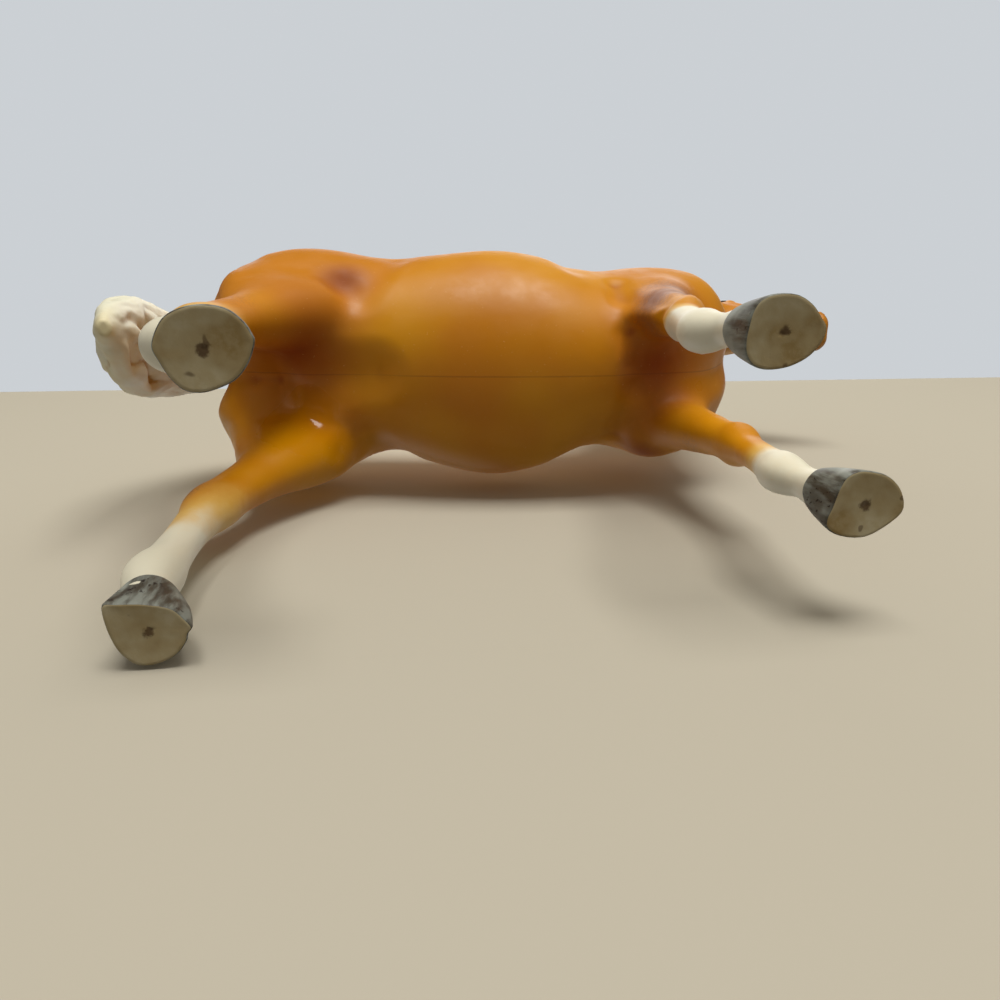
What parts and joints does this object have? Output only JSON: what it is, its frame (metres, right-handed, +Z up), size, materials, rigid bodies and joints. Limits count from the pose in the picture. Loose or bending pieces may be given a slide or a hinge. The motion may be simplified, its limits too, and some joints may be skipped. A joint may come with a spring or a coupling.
{
  "type": "toy farm animal figure",
  "caption": "Standing toy horse in moulded hard plastic: a hollow amber body in halves, cream socks, mane and tail, and grey hooves.",
  "frame": {"origin": "on the floor, under the middle of the figure's box", "axes": "+X towards the head, +Y the horse's left side, +Z up"},
  "size_m": [0.27, 0.0796, 0.2423],
  "materials": {
    "amber_body": "semi-gloss amber moulded plastic, airbrushed shading, fine seam down the middle",
    "legs": "amber plastic fading into airbrushed cream socks, satin blue-grey hoof walls, flat greige soles",
    "cream_hair": "satin cream paint over moulded hair locks"
  },
  "bodies": {
    "root": {"body_shell_left": "amber_body", "body_shell_right": "amber_body", "front_left_leg": "legs", "front_right_leg": "legs", "hind_left_leg": "legs", "hind_right_leg": "legs", "tail": "cream_hair", "mane": "cream_hair"}
  },
  "joints": []
}
